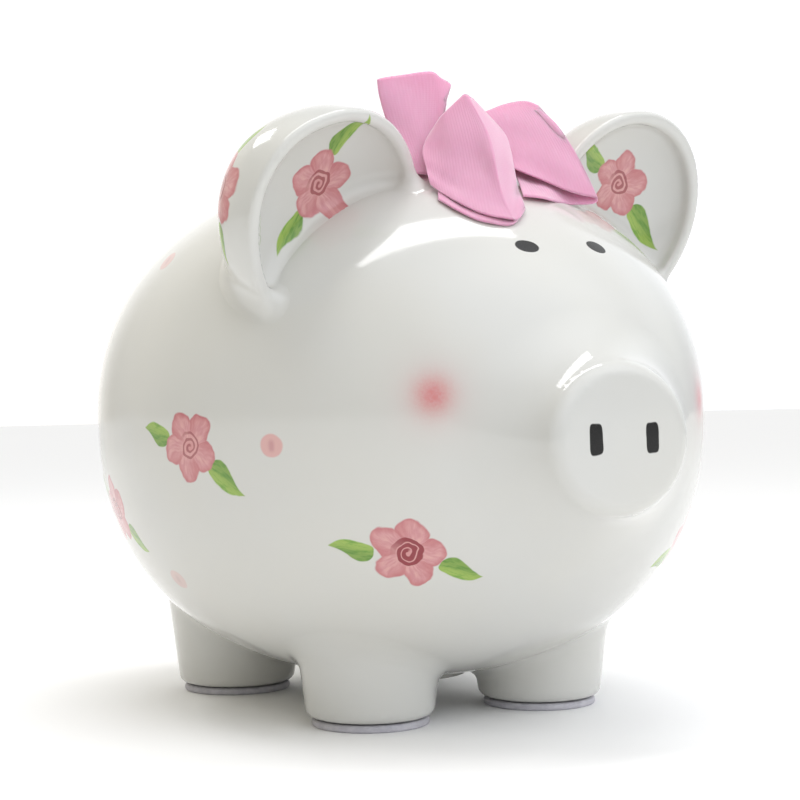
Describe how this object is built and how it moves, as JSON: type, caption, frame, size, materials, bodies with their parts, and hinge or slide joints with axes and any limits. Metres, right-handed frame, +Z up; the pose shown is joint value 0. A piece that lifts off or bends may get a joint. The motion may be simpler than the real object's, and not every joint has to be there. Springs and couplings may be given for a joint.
{
  "type": "piggy bank",
  "caption": "Round ceramic pig money bank on stub legs, cupped ears, ribbon bow on the head, coin slot in the back and a pull-out belly stopper.",
  "frame": {"origin": "under the middle of the bank's length and width, on the surface its foot pads stand on", "axes": "+Z up, the pig looks along -Y, +X is the pig's left side"},
  "size_m": [0.167, 0.2, 0.177],
  "materials": {
    "glaze": "glazed ceramic, high gloss, hand-painted under the glaze",
    "foot_pad": "matt soft pad",
    "stopper": "satin soft vinyl",
    "ribbon": "pink grosgrain ribbon",
    "glue": "set hot-melt glue"
  },
  "bodies": {
    "bank": {"body_shell": "glaze", "ear_right": "glaze", "ear_left": "glaze", "foot_pad_front_left": "foot_pad", "foot_pad_front_right": "foot_pad", "foot_pad_rear_left": "foot_pad", "foot_pad_rear_right": "foot_pad", "bow_loop_left": "ribbon", "bow_loop_right": "ribbon", "bow_tail_front": "ribbon", "bow_tail_rear": "ribbon", "bow_knot": "ribbon", "bow_glue_pad": "glue"},
    "stopper": {"belly_stopper": "stopper"}
  },
  "joints": [
    {"name": "stopper_pull", "type": "slide", "parent": "bank", "child": "stopper", "axis": [0, 0, -1], "range_m": [0, 0.03]}
  ]
}
